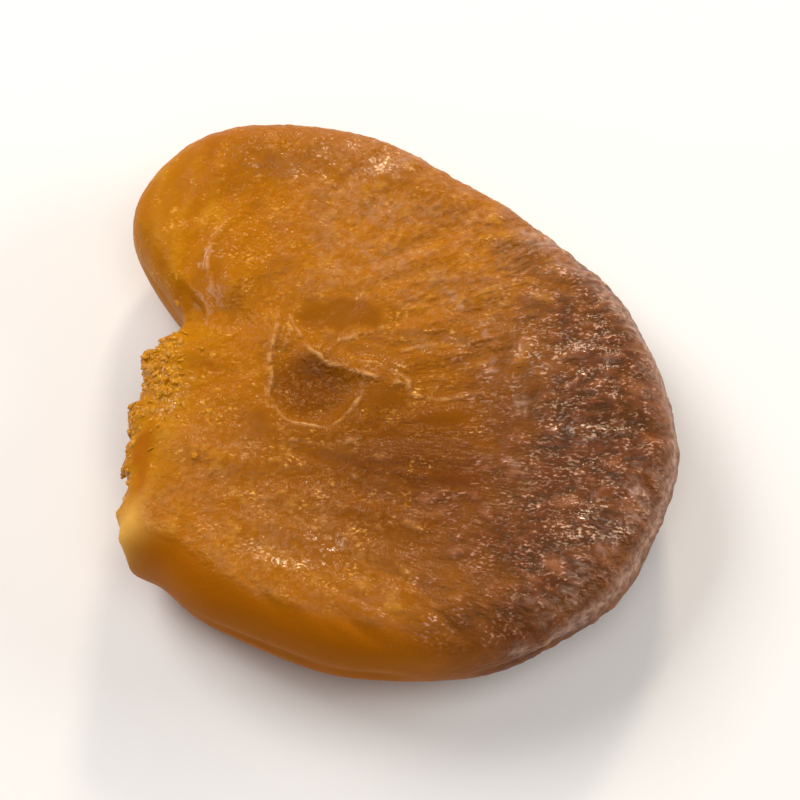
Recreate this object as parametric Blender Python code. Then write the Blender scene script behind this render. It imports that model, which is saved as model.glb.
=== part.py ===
"""A whole dried apricot, stoned and pressed flat, lying on its flatter face.

The fruit is one solid. A cube's grid of faces is blown up into a sphere, and each point of
the sphere is then carried to the fruit's skin: its compass angle picks the place round the
outline, and its angle from the crown picks the place on a section from the crown, over the
rim, to the foot. Folds, pleats and the dimple are raised from that skin by formulas.
Sizes are in millimetres, and the mesh is written in metres.
"""

from itertools import product

import bmesh
import bpy
import numpy as np

METRE = 0.001

# Size of the fruit
LONG_RADIUS = 23.15
SHORT_RADIUS = 20.45
LONG_AXIS_TURN = 124
OUTLINE_CENTRE = (-0.9, -0.5)
RIM_HEIGHT = 9.7
HEIGHT_FALL_X = 0.045
HEIGHT_FALL_Y = 0.022
FOOT_SINK = 0.25
BELLY_RISE = 2.0
BELLY_POWER = 2.4
GRID_CELLS = 31

# Outline: how far each swelling or hollow moves the edge, its compass angle and its width
OUTLINE_FORMS = {
    "stem_lobe": (2.6, 126, 19),
    "lobe_shoulder": (1.4, 145, 10),
    "stem_notch": (-5.5, 160, 11),
    "mouth_flat": (-2.6, 182, 14),
    "torn_corner": (2.4, 213, 6.5),
    "cheek": (1.8, 228, 20),
    "tip": (-0.4, 17, 22),
    "pressed_side": (-2.6, 53, 28),
    "flat_top": (-0.9, 78, 13),
}

# Sections from crown to foot: (share of the way, reach from the middle, height above the foot)
CLOSED_SECTION = (
    (0.00, 0.00, 1.00),
    (0.20, 0.52, 1.00),
    (0.34, 0.86, 1.00),
    (0.385, 0.955, 0.94),
    (0.43, 1.00, 0.76),
    (0.50, 1.015, 0.48),
    (0.575, 0.975, 0.20),
    (0.64, 0.87, 0.04),
    (0.70, 0.74, 0.00),
    (1.00, 0.00, 0.00),
)
OPEN_SECTION = (
    (0.00, 0.00, 1.00),
    (0.20, 0.52, 1.00),
    (0.34, 0.86, 1.00),
    (0.375, 0.955, 0.93),
    (0.40, 1.01, 0.79),
    (0.42, 1.02, 0.61),
    (0.43, 0.98, 0.55),
    (0.50, 0.67, 0.47),
    (0.57, 0.95, 0.40),
    (0.58, 0.98, 0.36),
    (0.60, 0.99, 0.24),
    (0.645, 0.91, 0.06),
    (0.70, 0.76, 0.00),
    (1.00, 0.00, 0.00),
)
CORNER_CUTS = 3

# Shares of the way at which the upper face ends, the under side starts and the pocket lies
FACE_END = (0.36, 0.42)
UNDER_START = (0.60, 0.70)
POCKET = {"share": 0.5, "width": 0.06}
# Reaches between which the flat foot passes into the pleated under side
FOOT_END = (0.28, 0.55)

# The mouth that the stone was pressed out of
MOUTH_TURN = 186
MOUTH_HALF_ANGLE = 23
MOUTH_SOFT_ANGLE = 8
LIP_SHARES = (0.425, 0.575)
LIP_WIDTH = 0.035
LIP_TEAR = {"height": 0.9, "length": 1.9, "short_length": 0.9, "short_part": 0.6, "crowd": 9}

# Forms of the upper face
DISH = {"x": -3.0, "y": -1.0, "radius": 12.5, "depth": 1.25}
WELT = {"reach": 0.85, "width": 0.085, "height": 0.5, "change_length": 7.0}
DIMPLE = {"x": -6.7, "y": -0.7, "length": 3.6, "breadth": 3.4, "depth": 0.6, "rim": 0.2, "rim_width": 0.4}
FOLDS = (
    # start x, start y, end x, end y, half width, height
    (-8.0, 2.4, -0.4, -0.3, 1.1, 0.50),
    (-9.5, 5.4, -10.0, 1.6, 1.1, 0.35),
    (-16.9, 4.7, -11.4, 5.3, 1.7, -0.75),
    (-17.0, -6.0, -10.4, -8.0, 1.2, 0.35),
    (-6.0, -8.0, 5.0, -11.0, 1.5, -0.35),
    (1.0, 6.5, 11.5, 5.0, 1.4, -0.35),
)

# Pleats: they fan out from a point beyond the mouth, and there are more of them further from it
PLEAT_CENTRE = (-27.0, -4.0)
PLEATS = (
    # distance from the centre, spread of the distance, pleats to a radian, height
    (9.0, 7.0, 3.5, 0.16),
    (21.0, 8.0, 8.0, 0.20),
    (33.0, 8.0, 12.5, 0.26),
    (45.0, 9.0, 17.0, 0.26),
)
PLEAT_LENGTH = 6.5
SWELL_LENGTH = 9.0
SWELL_HEIGHT = 0.50
UNDER_PLEAT = {"spacing": 2.6, "length": 7.0, "height": 0.30}
SEAM = {"share": 0.49, "width": 0.022, "depth": 0.35, "change_length": 6.0}
NOISE_CELLS = 32
NOISE_GAIN = 1.6


def noise(points, seed):
    """Gradient noise, about -1 to 1: slopes on a unit lattice, joined by a quintic ease."""
    slopes = np.random.default_rng(seed).normal(size=(NOISE_CELLS,) * 3 + (3,))
    slopes /= np.linalg.norm(slopes, axis=-1, keepdims=True)
    cell = np.floor(points).astype(int)
    inside = points - cell
    ease = inside**3 * (inside * (inside * 6 - 15) + 10)
    total = np.zeros(len(points))
    for corner in product((0, 1), repeat=3):
        share = np.prod(np.where(corner, ease, 1 - ease), axis=1)
        slope = slopes[tuple(((cell + corner) % NOISE_CELLS).T)]
        total += share * ((inside - corner) * slope).sum(axis=1)
    return total * NOISE_GAIN


def ridges(points, seed):
    """Rounded ridges with sharp valleys between them, about -0.6 to 1."""
    return np.abs(noise(points, seed)) * 2 - 0.6


def bell(distance, width):
    return np.exp(-((distance / width) ** 2))


def step(low, high, value):
    share = np.clip((value - low) / (high - low), 0, 1)
    return share * share * (3 - 2 * share)


def turn_between(angle, other):
    return (angle - other + 180) % 360 - 180


def on_section(knots, share):
    """Reach and height at each share of the way: the knots' corners are cut, then read off."""
    line = np.array(knots)
    for _ in range(CORNER_CUTS):
        near = line[:-1] * 0.75 + line[1:] * 0.25
        far = line[:-1] * 0.25 + line[1:] * 0.75
        cut = np.stack([near, far], axis=1).reshape(-1, 3)
        line = np.vstack([line[:1], cut, line[-1:]])
    return np.interp(share, line[:, 0], line[:, 1]), np.interp(share, line[:, 0], line[:, 2])


def outline_radius(turn):
    """An ellipse, with the swellings and hollows of this fruit added as bell curves."""
    away = np.radians(turn - LONG_AXIS_TURN)
    across = np.hypot(SHORT_RADIUS * np.cos(away), LONG_RADIUS * np.sin(away))
    radius = LONG_RADIUS * SHORT_RADIUS / across
    for amount, centre, width in OUTLINE_FORMS.values():
        radius += amount * bell(turn_between(turn, centre), width)
    return radius


def mouth_share(turn):
    away = np.abs(turn_between(turn, MOUTH_TURN))
    return 1 - step(MOUTH_HALF_ANGLE - MOUTH_SOFT_ANGLE, MOUTH_HALF_ANGLE + MOUTH_SOFT_ANGLE, away)


def skin(directions):
    """The plain skin at each direction: section, outline, mouth and the fall in height."""
    turn = np.degrees(np.arctan2(directions[:, 1], directions[:, 0])) % 360
    share = np.arccos(np.clip(directions[:, 2], -1, 1)) / np.pi
    open_here = mouth_share(turn)
    reach, height = (
        closed + (opened - closed) * open_here
        for closed, opened in zip(on_section(CLOSED_SECTION, share), on_section(OPEN_SECTION, share))
    )
    radius = outline_radius(turn)
    around = np.stack([radius * np.cos(np.radians(turn)), radius * np.sin(np.radians(turn))], axis=1)
    along = share * LIP_TEAR["crowd"]
    tear = noise(np.column_stack([around / LIP_TEAR["length"], along]), 21)
    tear += LIP_TEAR["short_part"] * noise(np.column_stack([around / LIP_TEAR["short_length"], along]), 22)
    for lip in LIP_SHARES:
        reach = reach + tear * LIP_TEAR["height"] / radius * open_here * bell(share - lip, LIP_WIDTH)
    x, y = (around * reach[:, None] + OUTLINE_CENTRE).T
    top = RIM_HEIGHT - HEIGHT_FALL_X * x - HEIGHT_FALL_Y * y
    bottom = BELLY_RISE * np.clip(reach, 0, 1.1) ** BELLY_POWER - FOOT_SINK
    z = bottom + (top - bottom) * height
    return np.stack([x, y, z], axis=1), turn, share, reach, open_here


def fold_height(x, y):
    """Each fold is a ridge, or a furrow, along a straight line that fades at both ends."""
    total = np.zeros(len(x))
    for x0, y0, x1, y1, width, height in FOLDS:
        length = np.hypot(x1 - x0, y1 - y0)
        along = ((x - x0) * (x1 - x0) + (y - y0) * (y1 - y0)) / length**2
        across = ((x - x0) * (y1 - y0) - (y - y0) * (x1 - x0)) / length
        ends = step(-0.12, 0.15, along) * (1 - step(0.8, 1.15, along))
        total += height * bell(across, width) * ends
    return total


def dimple_height(x, y):
    """An oval pit with a thin raised rim on its near side."""
    away_x = (x - DIMPLE["x"]) / DIMPLE["length"]
    away_y = (y - DIMPLE["y"]) / DIMPLE["breadth"]
    away = np.hypot(away_x, away_y)
    rim = DIMPLE["rim"] * bell(away - 1.15, DIMPLE["rim_width"]) * (1 - step(-0.2, 0.8, away_y))
    return rim - DIMPLE["depth"] * np.exp(-(away**4))


def pleat_height(x, y, z):
    """Rounded pleats with sharp valleys, fanned out past the mouth in bands of distance."""
    away_x, away_y = x - PLEAT_CENTRE[0], y - PLEAT_CENTRE[1]
    away = np.hypot(away_x, away_y)
    total = np.zeros(len(x))
    for band, (middle, spread, crowd, height) in enumerate(PLEATS):
        fan = np.column_stack([away_x / away * crowd, away_y / away * crowd, (away + z) / PLEAT_LENGTH])
        total += height * bell(away - middle, spread) * ridges(fan, 31 + band)
    return total


def under_pleat_height(turn, reach):
    """Rounded pleats on the under side, fanned out from its middle."""
    crowd = LONG_RADIUS / UNDER_PLEAT["spacing"]
    length = reach * LONG_RADIUS / UNDER_PLEAT["length"]
    angle = np.radians(turn)
    fan = np.column_stack([np.cos(angle) * crowd, np.sin(angle) * crowd, length])
    return UNDER_PLEAT["height"] * ridges(fan, 41)


def relief(points, turn, share, reach, open_here):
    """Height of the folds, pleats and dimple above the plain skin."""
    x, y, z = points.T
    face = 1 - step(*FACE_END, share)
    under = step(*UNDER_START, share)
    pocket = open_here * bell(share - POCKET["share"], POCKET["width"])
    swell = noise(points / SWELL_LENGTH, 11) * SWELL_HEIGHT
    welt_strength = 0.65 + 0.5 * noise(points / WELT["change_length"], 12)
    upper = (
        WELT["height"] * bell(reach - WELT["reach"], WELT["width"]) * welt_strength * (1 - open_here)
        - DISH["depth"] * bell(np.hypot(x - DISH["x"], y - DISH["y"]), DISH["radius"])
        + dimple_height(x, y)
        + fold_height(x, y)
        + pleat_height(x, y, z)
    )
    lower = under_pleat_height(turn, reach)
    seam_strength = step(-0.3, 0.5, noise(points / SEAM["change_length"], 13))
    seam = -SEAM["depth"] * bell(share - SEAM["share"], SEAM["width"]) * seam_strength
    off_foot = 1 - under * (1 - step(*FOOT_END, reach))
    return (swell + upper * face + lower * under + seam * (1 - open_here)) * (1 - pocket) * off_foot


def cube_of_faces(name):
    """A cube with each side cut into a grid of faces."""
    bpy.ops.mesh.primitive_cube_add(size=2)
    fruit = bpy.context.object
    fruit.name = name
    shell = bmesh.new()
    shell.from_mesh(fruit.data)
    bmesh.ops.subdivide_edges(shell, edges=shell.edges[:], cuts=GRID_CELLS - 1, use_grid_fill=True)
    shell.to_mesh(fruit.data)
    shell.free()
    return fruit


def read_points(mesh, name):
    values = np.empty(len(mesh.vertices) * 3)
    mesh.vertices.foreach_get(name, values)
    return values.reshape(-1, 3)


def write_points(mesh, points):
    mesh.vertices.foreach_set("co", (points * METRE).ravel())
    mesh.update()


def set_down(points):
    """Presses the foot flat, and moves the middle of the outline over the origin."""
    middle = (points.min(axis=0) + points.max(axis=0)) / 2
    points = points - [middle[0], middle[1], 0]
    points[:, 2] = np.maximum(points[:, 2], 0)
    return points


def flesh_material():
    material = bpy.data.materials.new("dried_apricot_flesh")
    material.use_nodes = True
    shader = material.node_tree.nodes["Principled BSDF"]
    shader.inputs["Base Color"].default_value = (0.46, 0.16, 0.02, 1)
    shader.inputs["Roughness"].default_value = 0.45
    shader.inputs["Metallic"].default_value = 0
    return material


def build_apricot():
    fruit = cube_of_faces("dried_apricot")
    grid = np.tan(read_points(fruit.data, "co") * np.pi / 4)
    directions = grid / np.linalg.norm(grid, axis=1, keepdims=True)
    points, turn, share, reach, open_here = skin(directions)
    write_points(fruit.data, points)
    normals = read_points(fruit.data, "normal")
    points += normals * relief(points, turn, share, reach, open_here)[:, None]
    write_points(fruit.data, set_down(points))
    fruit.data.shade_smooth()
    fruit.data.materials.append(flesh_material())
    return fruit


def main():
    for old in list(bpy.data.objects):
        bpy.data.objects.remove(old)
    group = bpy.data.collections.new("dried_apricot")
    bpy.context.scene.collection.children.link(group)
    fruit = build_apricot()
    for holder in list(fruit.users_collection):
        holder.objects.unlink(fruit)
    group.objects.link(fruit)


main()
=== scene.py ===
from itertools import product

import bpy
import numpy as np
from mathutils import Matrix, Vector


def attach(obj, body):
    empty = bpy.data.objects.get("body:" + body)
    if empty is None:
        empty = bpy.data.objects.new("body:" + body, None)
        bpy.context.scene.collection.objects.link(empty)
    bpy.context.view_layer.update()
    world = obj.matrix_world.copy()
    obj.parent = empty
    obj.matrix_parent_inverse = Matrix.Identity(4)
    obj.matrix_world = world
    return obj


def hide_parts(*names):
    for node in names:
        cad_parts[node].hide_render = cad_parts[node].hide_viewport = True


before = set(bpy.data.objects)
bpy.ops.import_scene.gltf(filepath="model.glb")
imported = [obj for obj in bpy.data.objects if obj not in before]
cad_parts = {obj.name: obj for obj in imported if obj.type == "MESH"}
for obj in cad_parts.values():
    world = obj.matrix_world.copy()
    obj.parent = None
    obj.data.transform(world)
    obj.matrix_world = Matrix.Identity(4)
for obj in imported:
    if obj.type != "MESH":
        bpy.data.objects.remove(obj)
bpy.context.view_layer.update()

mm = 0.001
root = "root"
# keeps a division off zero
nearlyZero = 1e-6
# sockets by number: the Mix node's for colours and for plain numbers, the Attribute node's outputs, the
# Object output of Texture Coordinate, the length that Vector Math gives and the Z of Separate XYZ
mixA, mixB, mixOut = 6, 7, 2
mixFirst, mixSecond = 2, 3
asVector, asNumber = 1, 2
objectPlace, lengthOut, zOut = 3, 1, 2

# one number for each noise, so that no two are alike; a fan's bands count on from its number
seeds = {
    "swell": 11, "welt": 12, "seam": 13, "tear": 21, "shortTear": 22, "pleats": 31, "underPleats": 41,
    "drift": 51, "small": 52, "tornEdge": 53, "foldSwayX": 54, "foldSwayY": 55, "foldGaps": 56, "fray": 57,
    "grit": 58, "swayX": 61, "swayY": 62, "lines": 63, "pebbles": 67, "tornLumps": 68, "smallTornLumps": 69,
    "fineLines": 71, "striae": 75, "softLumps": 76, "ledge": 77, "beads": 81, "beadLumps": 82,
}


# Small helpers

# sRGB hex to a linear colour with alpha 1
def hexColour(text):
    srgb = np.array([int(text[i:i + 2], 16) for i in (1, 3, 5)]) / 255
    linear = np.where(srgb <= 0.04045, srgb / 12.92, ((srgb + 0.055) / 1.055) ** 2.4)
    return (*linear, 1.0)


# adds one node: settings are its properties, values its unlinked sockets, links the sockets it is fed from
def addNode(tree, kind, settings=None, values=None, links=None, output=0):
    node = tree.nodes.new("ShaderNode" + kind)
    for name, value in (settings or {}).items():
        setattr(node, name, value)
    for name, value in (values or {}).items():
        node.inputs[name].default_value = value
    for name, source in (links or {}).items():
        tree.links.new(source, node.inputs[name])
    return node.outputs[output] if len(node.outputs) else node


# gradient noise, about -1 to 1: random slopes on a unit lattice, joined by a quintic ease
def noise(points, seed, cells=32, gain=1.6):
    slopes = np.random.default_rng(seed).normal(size=(cells,) * 3 + (3,))
    slopes /= np.linalg.norm(slopes, axis=-1, keepdims=True)
    cell = np.floor(points).astype(int)
    inside = points - cell
    ease = inside**3 * (inside * (inside * 6 - 15) + 10)
    total = np.zeros(points.shape[:-1])
    for corner in product((0, 1), repeat=3):
        share = np.prod(np.where(corner, ease, 1 - ease), axis=-1)
        near = (cell + corner) % cells
        slope = slopes[near[..., 0], near[..., 1], near[..., 2]]
        total += share * ((inside - corner) * slope).sum(axis=-1)
    return total * gain


# rounded ridges with sharp valleys between them: twice the size of the noise, less 0.6
def ridges(points, seed):
    return np.abs(noise(points, seed)) * 2 - 0.6


# a bell curve: 1 where the distance is 0, and about a third where it is the width
def bell(distance, width):
    return np.exp(-((distance / width) ** 2))


# a smooth step: 0 at low, 1 at high and eased between them, where low may be the larger number
def rise(low, high, value):
    share = np.clip((value - low) / (high - low), 0, 1)
    return share * share * (3 - 2 * share)


# near 1 inside an oval and near 0 outside it: e to the power of minus the distance's fourth power
def plateau(away):
    return np.exp(-(away**4))


# how far a place is from an oval's middle, where 1 is its edge; an oval is x, y, half length, half breadth
def ovalAway(x, y, oval):
    middleX, middleY, halfLength, halfBreadth = oval
    return np.hypot((x - middleX) / halfLength, (y - middleY) / halfBreadth)


# how far an angle is past another, from -180 to 180 degrees
def turnBetween(angle, other):
    return (angle - other + 180) % 360 - 180


# The fruit's form, in mm and degrees, as in the part's own source

fruit = {
    "cells": 127,
    "longRadius": 23.15,
    "shortRadius": 20.45,
    "longAxisTurn": 124,
    "centre": (-0.9, -0.5),
    "rimHeight": 9.7,
    "heightFall": (0.045, 0.022),
    "footSink": 0.25,
    "bellyRise": 2.0,
    "bellyPower": 2.4,
    "bellyReach": 1.1,
    # how far each swelling or hollow moves the edge, its compass angle and its width
    "outlineForms": {
        "stemLobe": (2.6, 126, 19),
        "lobeShoulder": (1.4, 145, 10),
        "stemNotch": (-5.5, 160, 11),
        "mouthFlat": (-2.6, 182, 14),
        "tornCorner": (2.4, 213, 6.5),
        "cheek": (1.8, 228, 20),
        "tip": (-0.4, 17, 22),
        "pressedSide": (-2.6, 53, 28),
        "flatTop": (-0.9, 78, 13),
    },
    # sections from crown to foot: share of the way, reach from the middle, height above the foot
    "closedSection": (
        (0.00, 0.00, 1.00),
        (0.20, 0.52, 1.00),
        (0.34, 0.86, 1.00),
        (0.385, 0.955, 0.94),
        (0.43, 1.00, 0.76),
        (0.50, 1.015, 0.48),
        (0.575, 0.975, 0.20),
        (0.64, 0.87, 0.04),
        (0.70, 0.74, 0.00),
        (1.00, 0.00, 0.00),
    ),
    "openSection": (
        (0.00, 0.00, 1.00),
        (0.20, 0.52, 1.00),
        (0.34, 0.86, 1.00),
        (0.375, 0.955, 0.93),
        (0.40, 1.01, 0.79),
        (0.42, 1.02, 0.61),
        (0.43, 0.98, 0.55),
        (0.50, 0.67, 0.47),
        (0.57, 0.95, 0.40),
        (0.58, 0.98, 0.36),
        (0.60, 0.99, 0.24),
        (0.645, 0.91, 0.06),
        (0.70, 0.76, 0.00),
        (1.00, 0.00, 0.00),
    ),
    "cornerCuts": 3,
    "mouthTurn": 186,
    "mouthHalfAngle": 23,
    "mouthSoftAngle": 8,
    "lipShares": (0.425, 0.575),
    "lipWidth": 0.035,
    # noise that frays the lips: a long and a short wave round the edge, in mm, and waves from crown to foot
    "lipTear": {"height": 0.9, "length": 1.9, "shortLength": 0.9, "shortPart": 0.6, "crowd": 9},
}

forms = {
    # shares of the way at which the upper face ends, the under side starts and the pocket lies
    "faceEnd": (0.36, 0.42),
    "underStart": (0.60, 0.70),
    "pocket": {"share": 0.5, "width": 0.06},
    # reaches between which the flat foot passes into the pleated under side
    "footEnd": (0.28, 0.55),
    "dish": {"x": -3.0, "y": -1.0, "radius": 12.5, "depth": 1.25},
    # the welt inside the rim: its height is steady in part, and noise changes the rest
    "welt": {
        "reach": 0.85,
        "width": 0.085,
        "height": 0.5,
        "steady": 0.65,
        "change": 0.5,
        "changeLength": 7.0,
    },
    "dimple": {
        "x": -6.7,
        "y": -0.7,
        "length": 3.6,
        "breadth": 3.4,
        "depth": 0.6,
        "rim": 0.2,
        "rimReach": 1.15,
        "rimWidth": 0.4,
        "rimEnd": (-0.2, 0.8),
    },
    # start x, start y, end x, end y, half width, height
    "folds": (
        (-8.0, 2.4, -0.4, -0.3, 1.1, 0.50),
        (-9.5, 5.4, -10.0, 1.6, 1.1, 0.35),
        (-16.9, 4.7, -11.4, 5.3, 1.7, -0.75),
        (-17.0, -6.0, -10.4, -8.0, 1.2, 0.35),
        (-6.0, -8.0, 5.0, -11.0, 1.5, -0.35),
        (1.0, 6.5, 11.5, 5.0, 1.4, -0.35),
    ),
    # where a fold rises and falls, from 0 at its start to 1 at its end
    "foldRise": (-0.12, 0.15),
    "foldFall": (0.8, 1.15),
    "fanCentre": (-27.0, -4.0),
    # distance from the fan's centre, its spread, pleats to a radian, height
    "pleats": (
        (9.0, 7.0, 3.5, 0.16),
        (21.0, 8.0, 8.0, 0.20),
        (33.0, 8.0, 12.5, 0.26),
        (45.0, 9.0, 17.0, 0.26),
    ),
    "pleatLength": 6.5,
    "swellLength": 9.0,
    "swellHeight": 0.50,
    "underPleat": {"spacing": 2.6, "length": 7.0, "height": 0.30},
    "seam": {"share": 0.49, "width": 0.022, "depth": 0.35, "changeLength": 6.0, "gaps": (-0.3, 0.5)},
}


# reach and height at each share of the way: the section's corners are cut at a quarter of each side, as
# often as the cuts say, and then it is read off
def onSection(knots, share):
    line = np.array(knots)
    for _ in range(fruit["cornerCuts"]):
        near = line[:-1] * 0.75 + line[1:] * 0.25
        far = line[:-1] * 0.25 + line[1:] * 0.75
        cut = np.stack([near, far], axis=1).reshape(-1, 3)
        line = np.vstack([line[:1], cut, line[-1:]])
    return np.interp(share, line[:, 0], line[:, 1]), np.interp(share, line[:, 0], line[:, 2])


# an ellipse, with the swellings and hollows of this fruit added as bell curves
def outlineRadius(turn):
    away = np.radians(turn - fruit["longAxisTurn"])
    across = np.hypot(fruit["shortRadius"] * np.cos(away), fruit["longRadius"] * np.sin(away))
    radius = fruit["longRadius"] * fruit["shortRadius"] / across
    for amount, centre, width in fruit["outlineForms"].values():
        radius += amount * bell(turnBetween(turn, centre), width)
    return radius


# 1 inside the torn mouth's angles, 0 outside them
def mouthShare(turn):
    away = np.abs(turnBetween(turn, fruit["mouthTurn"]))
    soft = fruit["mouthSoftAngle"]
    return 1 - rise(fruit["mouthHalfAngle"] - soft, fruit["mouthHalfAngle"] + soft, away)


# the plain skin as a function of compass angle and share of the way from crown to foot:
# the outline's radius times the section's reach, and the section's height between belly and crown
def skinPoints(turn, share):
    openHere = mouthShare(turn)
    closed = onSection(fruit["closedSection"], share)
    opened = onSection(fruit["openSection"], share)
    reach, height = (a + (b - a) * openHere for a, b in zip(closed, opened))
    radius = outlineRadius(turn)
    aroundX, aroundY = radius * np.cos(np.radians(turn)), radius * np.sin(np.radians(turn))
    lipTear = fruit["lipTear"]
    tear = 0
    for length, part, seed in (
        (lipTear["length"], 1.0, seeds["tear"]),
        (lipTear["shortLength"], lipTear["shortPart"], seeds["shortTear"]),
    ):
        place = np.stack([aroundX / length, aroundY / length, share * lipTear["crowd"]], axis=-1)
        tear = tear + part * noise(place, seed)
    for lip in fruit["lipShares"]:
        onLip = bell(share - lip, fruit["lipWidth"])
        reach = reach + tear * lipTear["height"] / radius * openHere * onLip
    x = aroundX * reach + fruit["centre"][0]
    y = aroundY * reach + fruit["centre"][1]
    top = fruit["rimHeight"] - fruit["heightFall"][0] * x - fruit["heightFall"][1] * y
    outwards = np.clip(reach, 0, fruit["bellyReach"])
    bottom = fruit["bellyRise"] * outwards ** fruit["bellyPower"] - fruit["footSink"]
    z = bottom + (top - bottom) * height
    return np.stack([x, y, z], axis=-1), reach, openHere


# each fold is a ridge, or a furrow, along a straight line that fades at both ends
def foldHeight(x, y):
    total = np.zeros_like(x)
    for x0, y0, x1, y1, width, height in forms["folds"]:
        length = np.hypot(x1 - x0, y1 - y0)
        along = ((x - x0) * (x1 - x0) + (y - y0) * (y1 - y0)) / length**2
        across = ((x - x0) * (y1 - y0) - (y - y0) * (x1 - x0)) / length
        ends = rise(*forms["foldRise"], along) * (1 - rise(*forms["foldFall"], along))
        total += height * bell(across, width) * ends
    return total


# how far a point is from the dimple's middle, where 1 is its edge, and the same towards the far side
def dimpleAway(x, y):
    dimple = forms["dimple"]
    awayX = (x - dimple["x"]) / dimple["length"]
    awayY = (y - dimple["y"]) / dimple["breadth"]
    return np.hypot(awayX, awayY), awayY


# an oval pit with a thin raised rim on its near side
def dimpleHeight(x, y):
    away, awayY = dimpleAway(x, y)
    dimple = forms["dimple"]
    rim = dimple["rim"] * bell(away - dimple["rimReach"], dimple["rimWidth"])
    return rim * (1 - rise(*dimple["rimEnd"], awayY)) - dimple["depth"] * plateau(away)


# noise in bands round the fan's centre: each band lays it on a circle of its own size, so that its
# forms run outwards, and the distance over the length is the way along them
def fanHeight(x, y, z, bands, length, seed):
    awayX, awayY = x - forms["fanCentre"][0], y - forms["fanCentre"][1]
    away = np.hypot(awayX, awayY) + nearlyZero
    total = np.zeros_like(x)
    for band, (middle, spread, crowd, height) in enumerate(bands):
        place = np.stack([awayX / away * crowd, awayY / away * crowd, (away + z) / length], axis=-1)
        total += height * bell(away - middle, spread) * ridges(place, seed + band)
    return total


# rounded pleats on the under side, fanned out from its middle
def underPleatHeight(turn, reach):
    under = forms["underPleat"]
    crowd = fruit["longRadius"] / under["spacing"]
    angle = np.radians(turn)
    along = reach * fruit["longRadius"] / under["length"]
    place = np.stack([np.cos(angle) * crowd, np.sin(angle) * crowd, along], axis=-1)
    return under["height"] * ridges(place, seeds["underPleats"])


# the large relief, as in the part's own source: swell, welt, dish, dimple, folds, pleats and seam
def largeRelief(points, turn, share, reach, openHere):
    x, y, z = np.moveaxis(points, -1, 0)
    welt, dish, seam = forms["welt"], forms["dish"], forms["seam"]
    face = 1 - rise(*forms["faceEnd"], share)
    under = rise(*forms["underStart"], share)
    pocket = openHere * bell(share - forms["pocket"]["share"], forms["pocket"]["width"])
    swell = noise(points / forms["swellLength"], seeds["swell"]) * forms["swellHeight"]
    weltStrength = welt["steady"] + welt["change"] * noise(points / welt["changeLength"], seeds["welt"])
    upper = (
        welt["height"] * bell(reach - welt["reach"], welt["width"]) * weltStrength * (1 - openHere)
        - dish["depth"] * bell(np.hypot(x - dish["x"], y - dish["y"]), dish["radius"])
        + dimpleHeight(x, y)
        + foldHeight(x, y)
        + fanHeight(x, y, z, forms["pleats"], forms["pleatLength"], seeds["pleats"])
    )
    seamStrength = rise(*seam["gaps"], noise(points / seam["changeLength"], seeds["seam"]))
    groove = -seam["depth"] * bell(share - seam["share"], seam["width"]) * seamStrength
    offFoot = 1 - under * (1 - rise(*forms["footEnd"], reach))
    lower = underPleatHeight(turn, reach)
    return (swell + upper * face + lower * under + groove * (1 - openHere)) * (1 - pocket) * offFoot


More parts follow.
